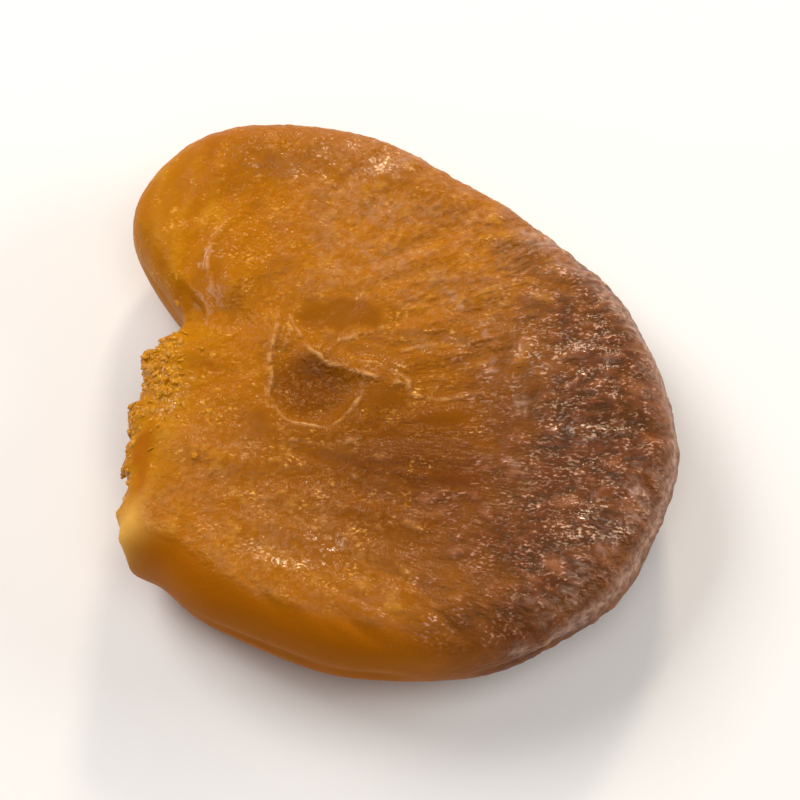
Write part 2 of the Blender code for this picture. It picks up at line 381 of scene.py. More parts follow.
# The finer relief, in mm, and the places on the face that are smooth, folded, wet or dusty
wrinkles = {
    # distance from the fan's centre, its spread, wrinkles to a radian, height
    "bands": (
        (9.0, 7.0, 7.0, 0.04),
        (21.0, 8.0, 17.0, 0.08),
        (33.0, 8.0, 28.0, 0.13),
        (45.0, 9.0, 38.0, 0.12),
    ),
    "fineBands": (
        (9.0, 7.0, 14.0, 0.01),
        (21.0, 8.0, 34.0, 0.03),
        (33.0, 8.0, 50.0, 0.07),
        (45.0, 9.0, 64.0, 0.08),
    ),
    "length": 2.4,
    "fineLength": 1.7,
    # how much of them the face and the lined side carry
    "onFace": 0.25,
    "onLined": 0.75,
    # a height that counts as a full crest for the colours
    "fullCrest": 0.09,
    "sway": 0.8,
    "swayLength": 4.0,
    "pebbleSpacing": 0.62,
    "pebbleHeight": 0.05,
    # long shallow lines down the stem lobe
    "stria": {"lean": 0.2, "spacing": 1.1, "length": 5.0, "depth": 3.0, "height": 0.12},
    "softLumpSpacing": 1.9,
    "softLumpHeight": 0.10,
    "tornLumpSpacing": 0.9,
    "tornLumpHeight": 0.24,
    "smallTornPart": 0.5,
    "smallTornCrowd": 2.3,
    # the raised edge of the face's skin, and the turns between which it starts and ends
    "ledge": {
        "share": 0.362,
        "height": 0.07,
        "width": 0.03,
        "sharpness": 0.004,
        "wobble": 0.006,
        "wobbleLength": 2.5,
        "start": (196, 212),
        "end": (285, 312),
    },
    # smooth patches where the skin is stretched: x, y, half length, half breadth
    "smooth": (
        (-4.7, 5.5, 4.2, 1.5),
        (-3.1, 2.4, 1.3, 0.7),
        (-1.2, -1.4, 1.9, 0.9),
        (-0.8, -5.3, 1.9, 1.1),
        (2.8, -3.0, 2.0, 0.9),
        (-10.6, -3.9, 1.3, 1.3),
        (-5.4, -6.6, 2.6, 0.8),
        (-15.5, 1.0, 1.6, 0.8),
        (4.2, -8.2, 2.2, 0.7),
    ),
    # thin folds of loose skin: x, y at each bend, then height
    "thinFolds": (
        ((-8.3, 4.9), (-7.0, 2.5), (-5.4, 1.2), (-3.6, 0.4), (-1.6, -0.2), (0.0, -0.3), 0.24),
        ((-4.2, 1.5), (-2.0, 0.9), (0.3, 0.1), (0.8, -1.3), (2.3, -1.5), (4.2, -1.3), 0.15),
        ((-9.1, 5.4), (-9.7, 3.6), (-9.9, 1.6), (-9.6, -0.5), (-10.2, -1.9), 0.17),
        ((-8.3, 4.7), (-8.9, 2.5), 0.12),
        ((-4.8, 3.4), (-2.4, 3.6), (-1.2, 4.5), 0.13),
        ((-0.1, 2.2), (1.9, 2.7), (4.6, 2.9), 0.11),
        ((-7.9, -5.4), (-5.4, -5.6), (-3.1, -5.1), 0.10),
        ((-3.4, -8.1), (-0.1, -8.9), 0.10),
        ((-13.6, 12.6), (-14.6, 9.4), (-14.2, 6.9), 0.12),
        ((-12.4, -9.8), (-8.6, -11.0), (-5.4, -13.6), 0.08),
    ),
    "thinFoldWidth": 0.3,
    # mm from a thin fold over which its line fades out
    "thinFoldFade": (0.48, 0.8),
    "thinFoldSway": 0.35,
    "thinFoldSwayLength": 2.2,
    "thinFoldGaps": (-0.7, 0.4),
    "thinFoldGapLength": 1.4,
    # a height whose line is drawn at full strength
    "strongFold": 0.2,
    # the thin ring round the near side of the dimple
    "ring": {"x": -6.6, "y": -0.6, "radius": 3.5, "height": 0.22, "nearSide": (0.1, -0.5)},
    # wet patches, where sugar syrup has come to the surface: x, y, half length, half breadth
    "wetPatches": (
        (14.1, -4.5, 3.8, 1.5),
        (14.4, -12.0, 3.2, 2.6),
        (-5.3, 18.4, 8.5, 2.4),
        (-14.5, 7.6, 1.6, 3.4),
        (-2.4, 0.7, 3.0, 0.9),
        (3.0, 2.9, 2.6, 0.9),
        (12.4, 1.0, 4.5, 2.4),
        (-7.3, -14.6, 4.5, 1.8),
        (-17.4, -0.6, 2.0, 3.6),
    ),
    # pale dusty streaks: start x, start y, end x, end y, half width, cover
    "streaks": (
        (6.2, 4.3, 6.9, 0.4, 0.5, 0.45),
        (8.2, -0.1, 9.2, -3.0, 0.5, 0.5),
        (6.7, -5.9, 8.7, -7.9, 0.5, 0.5),
        (9.0, -18.4, 10.9, -20.2, 0.5, 0.5),
        (3.0, 8.2, 4.4, 6.0, 0.5, 0.35),
        (17.6, -8.5, 17.0, -13.5, 1.2, 0.6),
        (11.0, -18.5, 16.0, -14.5, 1.8, 0.4),
    ),
}


# the way, in x and y, from the nearest place on a chain of straight stretches
def chainAway(x, y, bends):
    awayX, awayY = np.full_like(x, np.inf), np.full_like(x, np.inf)
    for (x0, y0), (x1, y1) in zip(bends, bends[1:]):
        along = ((x - x0) * (x1 - x0) + (y - y0) * (y1 - y0)) / ((x1 - x0) ** 2 + (y1 - y0) ** 2)
        along = np.clip(along, 0, 1)
        nextX, nextY = x - x0 - along * (x1 - x0), y - y0 - along * (y1 - y0)
        nearer = np.hypot(nextX, nextY) < np.hypot(awayX, awayY)
        awayX, awayY = np.where(nearer, nextX, awayX), np.where(nearer, nextY, awayY)
    return awayX, awayY


# thin folds and the dimple's ring, swayed by noise: the way from the nearest one, and its height in mm
def thinFolds(points):
    swayPlace = points / wrinkles["thinFoldSwayLength"]
    x = points[:, 0] + wrinkles["thinFoldSway"] * noise(swayPlace, seeds["foldSwayX"])
    y = points[:, 1] + wrinkles["thinFoldSway"] * noise(swayPlace, seeds["foldSwayY"])
    ring = wrinkles["ring"]
    fromX, fromY = x - ring["x"], y - ring["y"]
    outwards = np.hypot(fromX, fromY) + nearlyZero
    awayX, awayY = fromX * (1 - ring["radius"] / outwards), fromY * (1 - ring["radius"] / outwards)
    height = ring["height"] * rise(*ring["nearSide"], fromY / ring["radius"])
    for *bends, foldHigh in wrinkles["thinFolds"]:
        nextX, nextY = chainAway(x, y, bends)
        nearer = np.hypot(nextX, nextY) < np.hypot(awayX, awayY)
        awayX, awayY = np.where(nearer, nextX, awayX), np.where(nearer, nextY, awayY)
        height = np.where(nearer, foldHigh, height)
    gaps = noise(points / wrinkles["thinFoldGapLength"], seeds["foldGaps"])
    return awayX, awayY, height * rise(*wrinkles["thinFoldGaps"], gaps)


# Where each finish lies. A pair is where it starts and where it is whole: in mm along x or y, in shares of
# the way from crown to foot, or in degrees. Drift, small and ragged say how far noise moves an edge, and
# off says how much of the finish another one takes away.
zones = {
    # mm from one blot to the next in the noises that make the edges ragged
    "driftMm": 5.0,
    "smallMm": 1.7,
    "frayMm": (1.5, 0.5, 1.0),
    "frayPart": 0.5,
    "gritMm": 0.5,
    "grit": (-0.35, 0.4),
    "face": {"end": (0.352, 0.374), "drift": 0.008, "small": 0.004},
    "topEnd": (0.37, 0.43),
    # on the far side the face's finish runs on over the rim
    "farSide": {"start": (5, 35), "end": (150, 172), "further": 0.11},
    # the right side, by how squarely it faces this turn
    "rightSide": {"turn": -8, "facing": (0.0, 0.6)},
    # the side that the sun reached
    "blush": {"perX": 0.95, "perY": -0.26, "drift": 1.8, "small": 1.2, "start": (0.8, 14.2)},
    # the darker middle, a weaker stretch of painted shade on the far rim, painted shade in the dimple's
    # hollow, and the smooth patches
    "deep": {
        "oval": (1.2, -8.4, 13.5, 10.2),
        "fadeX": (7, 15),
        "fade": 0.5,
        # painted shade: the far rim's colour is darkened where the lamps from behind light it
        "rim": {"turn": 95, "width": 32, "start": (0.26, 0.33), "cover": 0.4},
        # painted shade in the dimple's hollow
        "shadeInDimple": 0.9,
        "inSmooth": 0.5,
    },
    "smooth": {"edge": (0.65, 1.1), "ragged": 0.35},
    # dried sugar along the right edge, lightened there as a painted rim highlight, partly even and partly
    # gritty
    "frostAndRimLight": {
        "cover": 0.75,
        "share": 0.412,
        "shareSwing": 0.042,
        "width": 0.026,
        "facing": (0.5, 0.8),
        "raggedFacing": 0.2,
        "small": 0.012,
        "even": 0.55,
        "gritty": 0.45,
    },
    "streaks": {"sway": 0.5, "gaps": (-0.5, 0.4)},
    "wet": {"right": (4, 14), "rightCover": 0.3, "edge": (0.5, 1.2), "ragged": 0.3, "gaps": (-0.5, 0.3)},
    # the stem lobe and the lower left of the face
    "lobe": {"x": (-10.5, -14.5), "y": (2, 7)},
    "lowLeft": {"x": (7, -3), "y": (-4, -10), "slope": 0.25},
    # dusty tan on the far half and the lower left
    "tan": {"x": (-12, -3), "y": (1, 8), "onLowLeft": 0.6, "offSmooth": 0.8, "offDeep": 0.8},
    # torn flesh from the face's edge down to the lower lip
    "torn": {
        "start": 0.350,
        "edge": 0.03,
        "later": {"by": 0.02, "turn": (182, 200)},
        "sooner": {"by": 0.03, "turn": 178, "width": 9},
        "raggedMm": 1.1,
        "ragged": 0.018,
        "drift": 0.008,
        "end": (0.615, 0.645),
        "small": 0.015,
    },
    # yellow flesh that shows through beside the torn mouth and at the stem lobe's end
    "yellow": {"start": (0.27, 0.36), "ragged": 0.02, "mouth": (0.02, 0.6)},
    "yellowLobe": {"x": (-15, -17.5), "small": 0.8, "cover": 0.75},
    # the side wall, which is weaker on the right side and on the far side
    "wall": {"offRight": 0.9, "offFar": 0.75, "farStart": (30, 60), "farEnd": (165, 185)},
    # the pale flesh at the torn mouth's near corner
    "pale": {"turn": 212, "width": 4, "start": (0.34, 0.38), "end": (0.44, 0.54)},
    # where the skin is lined along the fan, pebbled, or specked with pale specks, partly dried syrup and
    # partly painted glints
    "lined": {"x": (-9, 9), "offSmooth": 0.85},
    "pebbled": {"slope": 0.6, "lined": (0, 9), "offLined": 0.55, "offLobe": 0.5, "offSmooth": 0.9},
    "specked": {"offSmooth": 0.8},
}


# how much of each finish is at each point, from 0 to 1, for the relief and the material
def skinMasks(points, turn, share, openHere):
    x, y = points[:, 0], points[:, 1]
    drift = noise(points / zones["driftMm"], seeds["drift"])
    small = noise(points / zones["smallMm"], seeds["small"])
    frayed = small + zones["frayPart"] * noise(points / zones["frayMm"], seeds["fray"])
    grit = rise(*zones["grit"], noise(points / zones["gritMm"], seeds["grit"]))

    zone = zones["farSide"]
    farSide = rise(*zone["start"], turn) * (1 - rise(*zone["end"], turn))
    faceShare = share - zone["further"] * farSide
    onTop = 1 - rise(*zones["topEnd"], faceShare)
    zone = zones["face"]
    face = 1 - rise(*zone["end"], faceShare + zone["drift"] * drift + zone["small"] * small)
    zone = zones["rightSide"]
    facing = np.cos(np.radians(turn - zone["turn"]))
    rightSide = rise(*zone["facing"], facing)

    zone = zones["smooth"]
    smooth = np.zeros_like(x)
    for oval in wrinkles["smooth"]:
        inPatch = ovalAway(x, y, oval) + zone["ragged"] * frayed
        smooth = np.maximum(smooth, 1 - rise(*zone["edge"], inPatch))

    zone = zones["blush"]
    ripeness = zone["perX"] * x + zone["perY"] * y + zone["drift"] * drift + zone["small"] * small
    blush = rise(*zone["start"], ripeness)
    zone = zones["deep"]
    rim = zone["rim"]
    deep = bell(ovalAway(x, y, zone["oval"]), 1.0) * (1 - zone["fade"] * rise(*zone["fadeX"], x))
    # painted shade on a stretch of the far rim
    farRimPaintedShade = rim["cover"] * bell(turnBetween(turn, rim["turn"]), rim["width"]) * rise(*rim["start"], share)
    # painted shade in the dimple's hollow
    dimplePaintedShade = zone["shadeInDimple"] * plateau(dimpleAway(x, y)[0])
    deep = np.maximum.reduce([deep, farRimPaintedShade, dimplePaintedShade, zone["inSmooth"] * smooth])

    # dried sugar along the right edge, lightened there as a painted rim highlight
    zone = zones["frostAndRimLight"]
    frostFacing = facing + zone["raggedFacing"] * drift + zone["raggedFacing"] * small
    frostShare = zone["share"] - zone["shareSwing"] * np.sin(np.radians(turn))
    frostAndRimLight = zone["cover"] * bell(share - frostShare + zone["small"] * small, zone["width"])
    frostAndRimLight *= rise(*zone["facing"], frostFacing)
    frostAndRimLight *= zone["even"] + zone["gritty"] * grit
    zone = zones["streaks"]
    for x0, y0, x1, y1, width, cover in wrinkles["streaks"]:
        streakAway = np.hypot(*chainAway(x + zone["sway"] * small, y, ((x0, y0), (x1, y1))))
        streak = cover * bell(streakAway, width)
        frostAndRimLight = np.maximum(frostAndRimLight, streak * onTop * rise(*zone["gaps"], small) * grit)

    zone = zones["wet"]
    wet = zone["rightCover"] * rise(*zone["right"], x) * onTop
    for oval in wrinkles["wetPatches"]:
        inPatch = ovalAway(x, y, oval) + zone["ragged"] * small
        wet = np.maximum(wet, (1 - rise(*zone["edge"], inPatch)) * onTop)
    wet = wet * (1 - frostAndRimLight) * rise(*zone["gaps"], small)

    lobe = rise(*zones["lobe"]["x"], x) * rise(*zones["lobe"]["y"], y)
    zone = zones["lowLeft"]
    lowLeft = rise(*zone["y"], y + zone["slope"] * x) * rise(*zone["x"], x)
    zone = zones["tan"]
    tan = rise(*zone["y"], y) * rise(*zone["x"], x) * (1 - zone["offSmooth"] * smooth)
    tan = np.maximum(lowLeft * zone["onLowLeft"], tan) * (1 - zone["offDeep"] * deep)

    zone = zones["torn"]
    later, sooner = zone["later"], zone["sooner"]
    tornStart = zone["start"] + later["by"] * rise(*later["turn"], turn)
    tornStart -= sooner["by"] * bell(turn - sooner["turn"], sooner["width"])
    tornShare = share + zone["ragged"] * noise(points / zone["raggedMm"], seeds["tornEdge"])
    tornShare += zone["drift"] * drift
    torn = openHere * rise(tornStart, tornStart + zone["edge"], tornShare)
    torn = torn * (1 - rise(*zone["end"], share + zone["small"] * small))
    zone = zones["yellow"]
    yellow = rise(*zone["start"], share + zone["ragged"] * drift + zone["ragged"] * small)
    yellow = yellow * rise(*zone["mouth"], openHere) * onTop
    zone = zones["yellowLobe"]
    yellow = np.maximum(yellow, zone["cover"] * lobe * rise(*zone["x"], x + zone["small"] * small))

    # the wall starts where the face ends
    zone = zones["wall"]
    wall = rise(*zones["face"]["end"], share - zones["face"]["small"] * small) * (1 - torn)
    wall = wall * (1 - zone["offRight"] * rightSide)
    wall *= 1 - zone["offFar"] * rise(*zone["farStart"], turn) * (1 - rise(*zone["farEnd"], turn))
    zone = zones["pale"]
    pale = bell(turnBetween(turn, zone["turn"]), zone["width"])
    pale = pale * rise(*zone["start"], share) * (1 - rise(*zone["end"], share))
    zone = zones["lined"]
    lined = np.maximum(face, rightSide) * rise(*zone["x"], x)
    lined = lined * (1 - zone["offSmooth"] * smooth) * (1 - torn)
    zone = zones["pebbled"]
    pebbled = (1 - zone["offLined"] * rise(*zone["lined"], x - zone["slope"] * y)) * face
    pebbled = pebbled * (1 - zone["offLobe"] * lobe) * (1 - zone["offSmooth"] * smooth)
    return {
        "face": face,
        "onTop": onTop,
        "smooth": smooth * face,
        "lobe": lobe * face,
        "lowLeft": lowLeft * face,
        "blush": blush,
        "deep": deep * onTop * (1 - torn),
        "tan": tan * face * (1 - torn),
        "bloomAndRimLight": frostAndRimLight,
        "wet": wet,
        "torn": torn,
        "pale": pale,
        "yellow": yellow,
        "wall": wall,
        "lined": lined,
        "pebbled": np.maximum(pebbled, torn),
        "specked": onTop * (1 - zones["specked"]["offSmooth"] * smooth) * (1 - torn),
    }


# fine wrinkles along the fan, pebbles on the far side, lines on the stem lobe and soft lumps at the lower
# left, and then the face's raised edge and the lumps of torn flesh: two heights in mm
def fineRelief(points, turn, share, masks):
    x, y, z = np.moveaxis(points, -1, 0)
    swayX = x + wrinkles["sway"] * noise(points / wrinkles["swayLength"], seeds["swayX"])
    swayY = y + wrinkles["sway"] * noise(points / wrinkles["swayLength"], seeds["swayY"])
    lines = fanHeight(swayX, swayY, z, wrinkles["bands"], wrinkles["length"], seeds["lines"])
    lines += fanHeight(swayX, swayY, z, wrinkles["fineBands"], wrinkles["fineLength"], seeds["fineLines"])
    lineShare = wrinkles["onFace"] * masks["face"] * (1 - masks["smooth"])
    lineShare += wrinkles["onLined"] * masks["lined"]
    pebbles = ridges(points / wrinkles["pebbleSpacing"], seeds["pebbles"]) * wrinkles["pebbleHeight"]
    stria = wrinkles["stria"]
    striaX = (x - stria["lean"] * y) / stria["spacing"]
    striaPlace = np.stack([striaX, y / stria["length"], z / stria["depth"]], axis=-1)
    striae = noise(striaPlace, seeds["striae"]) * stria["height"]
    soft = noise(points / wrinkles["softLumpSpacing"], seeds["softLumps"]) * wrinkles["softLumpHeight"]
    skinLines = lines * lineShare + pebbles * masks["pebbled"]
    skinLines = (skinLines + striae * masks["lobe"] + soft * masks["lowLeft"]) * (1 - masks["torn"])
    tornPlace = points / wrinkles["tornLumpSpacing"]
    smallTorn = noise(tornPlace * wrinkles["smallTornCrowd"], seeds["smallTornLumps"])
    tornLumps = noise(tornPlace, seeds["tornLumps"]) + wrinkles["smallTornPart"] * smallTorn
    ledge = wrinkles["ledge"]
    wobble = ledge["wobble"] * noise(points / ledge["wobbleLength"], seeds["ledge"])
    inwards = ledge["share"] + wobble - share
    ledgeTurn = rise(*ledge["start"], turn) * (1 - rise(*ledge["end"], turn))
    lip = ledge["height"] * bell(inwards, ledge["width"]) * ledgeTurn
    lip *= rise(-ledge["sharpness"], ledge["sharpness"], inwards)
    return skinLines, lip + tornLumps * wrinkles["tornLumpHeight"] * masks["torn"]


# the surface of a cube as whole-number corners, each kept once, and its squares facing outwards
def cubeGrid(cells):
    first, second = np.meshgrid(np.arange(cells + 1), np.arange(cells + 1), indexing="ij")
    index = np.arange((cells + 1) ** 2).reshape(cells + 1, cells + 1)
    square = np.stack([index[:-1, :-1], index[1:, :-1], index[1:, 1:], index[:-1, 1:]], axis=-1)
    square = square.reshape(-1, 4)
    corners, squares = [], []
    for side, (axis, end) in enumerate(product(range(3), (0, cells))):
        place = np.empty((cells + 1, cells + 1, 3), int)
        place[..., axis] = end
        place[..., (axis + 1) % 3] = first
        place[..., (axis + 2) % 3] = second
        corners.append(place.reshape(-1, 3))
        squares.append((square if end else square[:, ::-1]) + side * index.size)
    unique, where = np.unique(np.vstack(corners), axis=0, return_inverse=True)
    return unique, where.ravel()[np.vstack(squares)]


# a sphere of radius 1: the cube's corners, spaced by equal angles, are pushed out along their directions
def cubeSphere(cells):
    corners, squares = cubeGrid(cells)
    grid = np.tan((corners / cells * 2 - 1) * np.pi / 4)
    return grid / np.linalg.norm(grid, axis=1, keepdims=True), squares


# each corner's normal: the sum of the cross products of the diagonals of the squares round it
def cornerNormals(points, squares):
    a, b, c, d = (points[squares[:, i]] for i in range(4))
    cross = np.cross(c - a, d - b)
    normals = np.stack(
        [np.bincount(squares.ravel(), np.repeat(cross[:, i], 4), len(points)) for i in range(3)], axis=-1)
    return normals / np.linalg.norm(normals, axis=1, keepdims=True)


# a mesh piece from points in mm, its squares and its attributes
def makePiece(name, points, squares, material, attributes):
    mesh = bpy.data.meshes.new(name)
    mesh.vertices.add(len(points))
    mesh.vertices.foreach_set("co", (points * mm).ravel())
    mesh.loops.add(squares.size)
    mesh.loops.foreach_set("vertex_index", squares.ravel())
    mesh.polygons.add(len(squares))
    mesh.polygons.foreach_set("loop_start", np.arange(0, squares.size, 4))
    mesh.update(calc_edges=True)
    mesh.validate()
    mesh.shade_smooth()
    for key, values in attributes.items():
        vector = values.ndim == 2
        layer = mesh.attributes.new(key, "FLOAT_VECTOR" if vector else "FLOAT", "POINT")
        layer.data.foreach_set("vector" if vector else "value", values.astype(np.float32).ravel())
    mesh.materials.append(material)
    piece = bpy.data.objects.new(name, mesh)
    bpy.context.scene.collection.objects.link(piece)
    return piece


# Dried apricot skin: fruit leather, cured by sun and pressing. Translucent amber flesh shows through a
# thin skin with small wet glints. It is red where the sun reached it and tan where it is dusty. Its wrinkle
# crests are painted lighter as a painted highlight, with some pale bloom, and its valleys darker as painted
# shade. A frost of dried sugar runs along one edge, lightened there as a painted rim highlight, and pale
# specks all over the face are partly dried syrup and partly painted glints.
skinFinish = {
    "amber": "#B26C00",
    "deepAmber": "#6A3400",
    "sunRed": "#6A391E",
    "tan": "#B87E4A",
    "yellowOrange": "#B27200",
    "wallOrange": "#A65E00",
    # crest colours: a painted highlight where the wrinkles rise, with some of their own pale bloom; valley
    # colours: painted shade in the wrinkles' valleys
    "amberCrestHighlight": "#C68A14",
    "redCrestHighlight": "#986240",
    "amberValleyShade": "#985800",
    "redValleyShade": "#482A14",
    # speck colours: pale points on the crests, partly dried syrup and partly painted glints; the wet one is
    # a painted glint
    "amberSpeckGlint": "#E4A848",
    "redSpeckGlint": "#D0A088",
    "wetSpeckGlint": "#FFDCBC",
    # the fold lines' colour: a painted highlight along each thin ridge
    "foldHighlight": "#D8A468",
    # bloom: dried sugar and dust, lightened as a painted rim highlight where it runs along the right edge
    "bloomAndRimLight": "#C8A898",
    "tornYellow": "#B87800",
    "paleFlesh": "#D8A64C",
    # how far light goes under the skin, and how much of that way its red, green and blue go
    "subsurface": 0.4,
    "subsurfaceDepthMm": 0.8,
    "subsurfaceShares": (1.0, 0.35, 0.08),
    "roughness": 0.45,
    "dullRoughness": 0.62,
    "yellowDull": 0.7,
    "specular": 0.15,
    "specularTint": "#FFD08C",
    "faceGloss": 0.12,
    "wetGloss": 0.9,
    "glossRoughness": 0.14,
    "foldLineMm": 0.30,
    "foldRelief": 1.8,
    "foldHighlightCover": 0.7,
    "blotchMm": 2.2,
    "squiggleMm": 0.55,
    "squiggleBend": 0.2,
    "poreMm": 0.22,
    "poreRelief": 0.2,
    "grainDepthMm": 0.042,
    # pale specks, partly dried syrup and partly painted glints, drawn a little coarser than real ones so
    # that they show
    "speckMm": (0.34, 0.2, 0.3),
    "speckDriftMm": 1.5,
    # how much one thing adds to another: fine relief to the height, blotches to the blush, and so on
    "reliefInHeight": 0.45,
    "blotchInBlush": 0.16,
    "deepInRipe": 0.7,
    "blushInDrift": 0.08,
    "wetInSpecks": 0.04,
    # the finest dashes: their length and spacing in mm, the spacing at this distance from the fan's centre
    "dashLength": 1.3,
    "dashSpacing": 0.36,
    "dashDistance": 36,
}

# how each noise, height or mask is turned into a cover, as the values of a Map Range node
skinRanges = {
    "signed": {"From Min": 0.3, "From Max": 0.7, "To Min": -1.0, "To Max": 1.0},
    "foldGaps": {"From Min": -0.8, "From Max": 0.2},
    "unfilled": {"To Min": 1.0, "To Max": 0.45},
    "crest": {"From Min": 0.1, "From Max": 1.2, "To Max": 0.7},
    "valley": {"From Min": -0.1, "From Max": -1.0},
    "valleyMost": {"To Min": 0.35, "To Max": 0.8},
    "tanPatch": {"From Min": -0.6, "From Max": 0.6, "To Min": 0.15, "To Max": 0.95},
    "tanSpeckle": {"From Min": -0.6, "From Max": 0.5, "To Min": 0.25},
    "bloomSpeckle": {"From Min": -0.8, "From Max": 0.5, "To Min": 0.3},
    "speckDrift": {"From Min": 0.5, "From Max": 0.68},
    "speckTop": {"From Min": 0.55, "From Max": 0.67},
    "onCrest": {"From Min": -0.3, "From Max": 0.3, "To Min": 0.45},
    "rosy": {"From Max": 0.4},
    "roughness": {"To Min": skinFinish["roughness"], "To Max": skinFinish["dullRoughness"]},
    "gloss": {"To Min": skinFinish["faceGloss"], "To Max": 0.0},
    "foldLine": {"From Min": skinFinish["foldLineMm"], "From Max": 0.0},
}

# the attributes that the skin's mesh carries for its material
skinMaskNames = (
    "blush", "deep", "tan", "yellow", "bloomAndRimLight", "wet", "torn", "pale", "wall", "crest", "lined", "pebbled",
    "specked")


# an empty material, its node tree and each point's place in mm
def emptyMaterial(name):
    material = bpy.data.materials.new(name)
    material.use_nodes = True
    tree = material.node_tree
    tree.nodes.clear()
    place = addNode(tree, "TexCoord", output=objectPlace)
    placeMm = addNode(tree, "Mapping", values={"Scale": (1 / mm,) * 3}, links={"Vector": place})
    return material, tree, placeMm


# the skin's colour, gloss and finest relief, from its masks and a few noises
def skinMaterial():
    finish, ranges = skinFinish, skinRanges
    colour = {key: hexColour(value) for key, value in finish.items() if isinstance(value, str)}
    material, tree, placeMm = emptyMaterial("dried_apricot_skin")
    colourMix = {"data_type": "RGBA"}
    multiply, add, multiplyAdd = ({"operation": kind} for kind in ("MULTIPLY", "ADD", "MULTIPLY_ADD"))
    clampedAdd = {**multiplyAdd, "use_clamp": True}
    mask = {
        key: addNode(tree, "Attribute", {"attribute_name": key}, output=asNumber)
        for key in skinMaskNames
    }
    flow = addNode(tree, "Attribute", {"attribute_name": "flow"}, output=asVector)
    blotch = addNode(
        tree, "TexNoise", values={"Scale": 1 / finish["blotchMm"], "Detail": 3}, links={"Vector": placeMm})
    dash = addNode(tree, "TexNoise", values={"Scale": 1.0, "Detail": 2}, links={"Vector": flow})
    squiggle = addNode(
        tree, "TexNoise",
        values={"Scale": 1 / finish["squiggleMm"], "Detail": 2, "Distortion": finish["squiggleBend"]},
        links={"Vector": placeMm})
    pore = addNode(
        tree, "TexNoise", values={"Scale": 1 / finish["poreMm"], "Detail": 1}, links={"Vector": placeMm})
    blotchSigned, dashSigned, squiggleSigned, poreSigned = (
        addNode(tree, "MapRange", values=ranges["signed"], links={"Value": source})
        for source in (blotch, dash, squiggle, pore))

    # the finest relief, about -1 to 1: dashes on the lined side, squiggles on the pebbled side, and pores
    dashHeight = addNode(tree, "Math", multiply, links={0: dashSigned, 1: mask["lined"]})
    squiggleHeight = addNode(tree, "Math", multiply, links={0: squiggleSigned, 1: mask["pebbled"]})
    fine = addNode(tree, "Math", add, links={0: dashHeight, 1: squiggleHeight})
    fine = addNode(tree, "Math", multiplyAdd, {1: finish["poreRelief"]}, {0: poreSigned, 2: fine})

    # thin folds: a crisp line where the way from the nearest fold is short, as strong as the fold is there;
    # the line is painted pale as a painted highlight along the ridge, and raises the relief
    foldAway = addNode(tree, "Attribute", {"attribute_name": "foldAway"}, output=asVector)
    foldFlat = addNode(tree, "VectorMath", multiply, {1: (1, 1, 0)}, {0: foldAway})
    foldDistance = addNode(
        tree, "VectorMath", {"operation": "LENGTH"}, links={0: foldFlat}, output=lengthOut)
    foldStrength = addNode(tree, "SeparateXYZ", links={0: foldAway}, output=zOut)
    foldEdge = addNode(
        tree, "MapRange", {"interpolation_type": "SMOOTHSTEP"}, ranges["foldLine"], {"Value": foldDistance})
    foldWhole = addNode(tree, "Math", multiply, links={0: foldEdge, 1: foldStrength})
    foldGaps = addNode(tree, "MapRange", values=ranges["foldGaps"], links={"Value": squiggleSigned})
    foldLine = addNode(tree, "Math", multiply, links={0: foldWhole, 1: foldGaps})
    # the pale painted highlight along the fold line
    foldHighlightTone = addNode(tree, "Math", multiply, {1: finish["foldHighlightCover"]}, {0: foldLine})
    # where the skin is wet, syrup fills part of the finest relief
    unfilled = addNode(tree, "MapRange", values=ranges["unfilled"], links={"Value": mask["wet"]})
    bare = addNode(tree, "Math", multiply, links={0: fine, 1: unfilled})
    relief = addNode(tree, "Math", multiplyAdd, {1: finish["foldRelief"]}, {0: foldLine, 2: bare})

    # crest and valley, from the mesh's own wrinkles and the finest relief: crests are painted lighter as a
    # painted highlight, with some pale bloom, and valleys darker as painted shade
    height = addNode(tree, "Math", multiplyAdd, {1: finish["reliefInHeight"]}, {0: fine, 2: mask["crest"]})
    crest = addNode(tree, "MapRange", values=ranges["crest"], links={"Value": height})
    valleyMost = addNode(tree, "MapRange", values=ranges["valleyMost"], links={"Value": mask["blush"]})
    valleyShare = addNode(tree, "MapRange", values=ranges["valley"], links={"Value": height})
    valley = addNode(tree, "Math", multiply, links={0: valleyShare, 1: valleyMost})

    # blush and tan, broken up by blotches
    blush = addNode(
        tree, "Math", clampedAdd, {1: finish["blotchInBlush"]}, {0: blotchSigned, 2: mask["blush"]})
    tanPatch = addNode(tree, "MapRange", values=ranges["tanPatch"], links={"Value": blotchSigned})
    tanSpeckle = addNode(tree, "MapRange", values=ranges["tanSpeckle"], links={"Value": squiggleSigned})
    tanDust = addNode(tree, "Math", multiply, links={0: tanPatch, 1: tanSpeckle})
    tanCover = addNode(tree, "Math", multiply, links={0: tanDust, 1: mask["tan"]})
    ripe = addNode(tree, "Math", clampedAdd, {1: finish["deepInRipe"]}, {0: mask["deep"], 2: blush})
    crestHighlightTones = {mixA: colour["amberCrestHighlight"], mixB: colour["redCrestHighlight"]}
    crestHighlightTone = addNode(tree, "Mix", colourMix, crestHighlightTones, {0: ripe}, mixOut)
    valleyShadeTones = {mixA: colour["amberValleyShade"], mixB: colour["redValleyShade"]}
    valleyShadeTone = addNode(tree, "Mix", colourMix, valleyShadeTones, {0: blush}, mixOut)
    # bloom on the face, lightened as a painted rim highlight along the right edge
    bloomSpeckle = addNode(tree, "MapRange", values=ranges["bloomSpeckle"], links={"Value": dashSigned})
    bloomAndRimLightCover = addNode(tree, "Math", multiply, links={0: bloomSpeckle, 1: mask["bloomAndRimLight"]})

